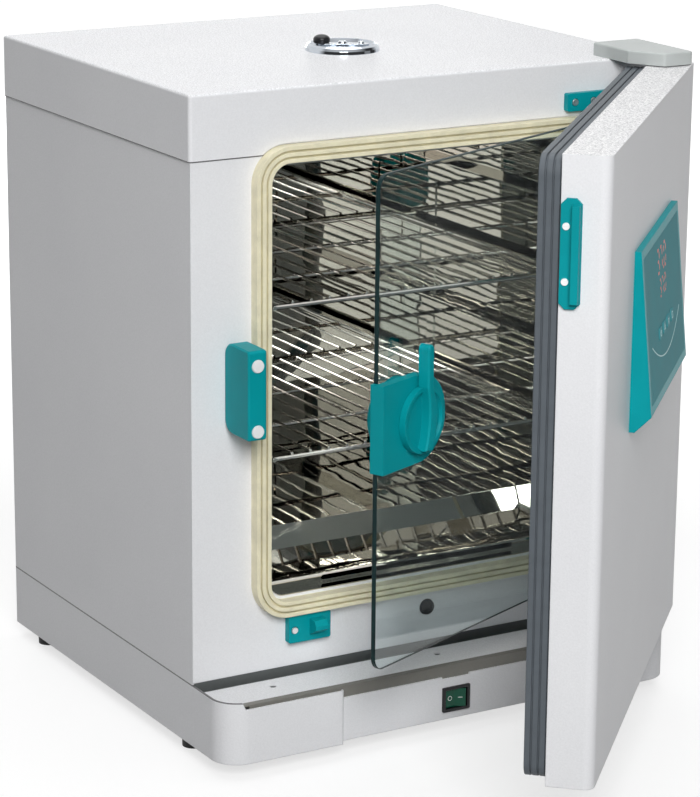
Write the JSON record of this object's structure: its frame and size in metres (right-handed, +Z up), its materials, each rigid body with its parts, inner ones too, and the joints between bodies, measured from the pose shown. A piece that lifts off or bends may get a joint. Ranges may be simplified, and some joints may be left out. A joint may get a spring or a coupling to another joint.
{
  "type": "laboratory incubator",
  "caption": "Bench incubator: insulated cabinet with a wire-shelved chamber, inner glass door with turn latch and an insulated outer door with controls.",
  "frame": {"origin": "on the bench, midway between the four feet and under the cabinet's centre", "axes": "+X to the hinge side (right, seen from the front), +Y from the front to the back, +Z up; the doors are at -Y"},
  "size_m": [0.5381, 0.8413, 0.6735],
  "materials": {
    "white_coat": "fine speckled powder coat",
    "teal_plastic": "satin",
    "control_membrane": "satin",
    "key_plastic": "satin",
    "cream_silicone": "soft",
    "grey_rubber": "soft",
    "black_rubber": "matt",
    "mirror_steel": "mirror polished stainless",
    "wire_steel": "bright wire",
    "zinc_steel": "zinc plated sheet",
    "screw_steel": "plated screw",
    "chrome": "polished",
    "clear_glass": "clear, green at the edges",
    "cap_plastic": "light grey moulding",
    "white_plastic": "white cap",
    "black_plastic": "black",
    "green_switch": "translucent dark green",
    "board_green": "circuit board",
    "mineral_wool": "fibrous"
  },
  "bodies": {
    "cabinet": {"plinth": "white_coat", "rubber_feet": "black_rubber", "left_side_panel": "white_coat", "right_side_panel": "white_coat", "back_panel": "white_coat", "front_frame": "white_coat", "top_lid": "white_coat", "base_block_left": "white_coat", "base_block_right": "white_coat", "tray_plate": "white_coat", "switch_panel": "white_coat", "switch_body": "black_plastic", "mains_inlet": "black_plastic", "power_board": "board_green", "insulation": "mineral_wool", "chamber_liner": "mirror_steel", "floor_cover": "mirror_steel", "chamber_gasket": "cream_silicone", "heater_tube": "zinc_steel", "temperature_probe": "mirror_steel", "shelf_rail_left": "mirror_steel", "shelf_rail_right": "mirror_steel", "wire_shelf_lower": "wire_steel", "wire_shelf_upper": "wire_steel", "glass_hinge_bracket_top": "teal_plastic", "glass_hinge_bracket_bottom": "teal_plastic", "glass_hinge_pins": "screw_steel", "glass_rest": "teal_plastic", "cabinet_screws": "screw_steel", "latch_receiver": "teal_plastic", "receiver_caps": "white_plastic", "blanking_plug": "black_rubber", "door_hinge_top": "zinc_steel", "door_hinge_bottom": "zinc_steel", "hinge_cap": "cap_plastic", "vent_duct": "black_plastic", "vent_dish": "chrome"},
    "outer_door": {"door_shell": "white_coat", "door_bushings": "black_plastic", "door_inner_panel": "white_coat", "door_insulation": "mineral_wool", "door_gasket": "grey_rubber", "handle_strip": "teal_plastic", "handle_screws": "screw_steel", "control_housing": "teal_plastic", "control_face": "control_membrane", "control_board": "board_green"},
    "glass_door": {"glass_pane": "clear_glass", "glass_clamp_top": "teal_plastic", "glass_clamp_bottom": "teal_plastic", "latch_plate": "teal_plastic", "latch_boss": "teal_plastic"},
    "glass_knob": {"latch_knob": "teal_plastic"},
    "vent_shutter": {"vent_shutter": "chrome", "vent_knob": "black_plastic"},
    "power_rocker": {"power_rocker": "green_switch"},
    "key_1": {"key_1": "key_plastic"},
    "key_2": {"key_2": "key_plastic"},
    "key_3": {"key_3": "key_plastic"},
    "key_4": {"key_4": "key_plastic"}
  },
  "joints": [
    {"name": "outer_door_hinge", "type": "hinge", "parent": "cabinet", "child": "outer_door", "pos_m": [0.251, -0.2496, 0.3695], "axis": [0, 0, 1], "range_deg": [-46, 74]},
    {"name": "glass_door_hinge", "type": "hinge", "parent": "cabinet", "child": "glass_door", "pos_m": [0.201, -0.2234, 0.366], "axis": [0, 0, 1], "range_deg": [-23, 37]},
    {"name": "glass_knob_turn", "type": "hinge", "parent": "glass_door", "child": "glass_knob", "pos_m": [-0.1128, -0.35942, 0.367], "axis": [-0.3907, 0.9205, 0], "range_deg": [-90, 0]},
    {"name": "vent_shutter_turn", "type": "hinge", "parent": "cabinet", "child": "vent_shutter", "pos_m": [0, -0.035, 0.661], "axis": [0, 0, 1], "range_deg": [0, 90]},
    {"name": "power_rocker_tilt", "type": "hinge", "parent": "cabinet", "child": "power_rocker", "pos_m": [0, -0.2666, 0.038], "axis": [0, 0, 1], "range_deg": [0, 20]},
    {"name": "key_1_press", "type": "slide", "parent": "outer_door", "child": "key_1", "axis": [-0.7163, 0.6917, -0.0917], "range_m": [0, 0.0004], "stiffness_N_per_m": 300, "springref_m": -0.0004},
    {"name": "key_2_press", "type": "slide", "parent": "outer_door", "child": "key_2", "axis": [-0.7163, 0.6917, -0.0917], "range_m": [0, 0.0004], "stiffness_N_per_m": 300, "springref_m": -0.0004},
    {"name": "key_3_press", "type": "slide", "parent": "outer_door", "child": "key_3", "axis": [-0.7163, 0.6917, -0.0917], "range_m": [0, 0.0004], "stiffness_N_per_m": 300, "springref_m": -0.0004},
    {"name": "key_4_press", "type": "slide", "parent": "outer_door", "child": "key_4", "axis": [-0.7163, 0.6917, -0.0917], "range_m": [0, 0.0004], "stiffness_N_per_m": 300, "springref_m": -0.0004}
  ],
  "couplings": [
    {"joint": "glass_door_hinge", "follows": "outer_door_hinge", "ratio": 0.5}
  ]
}
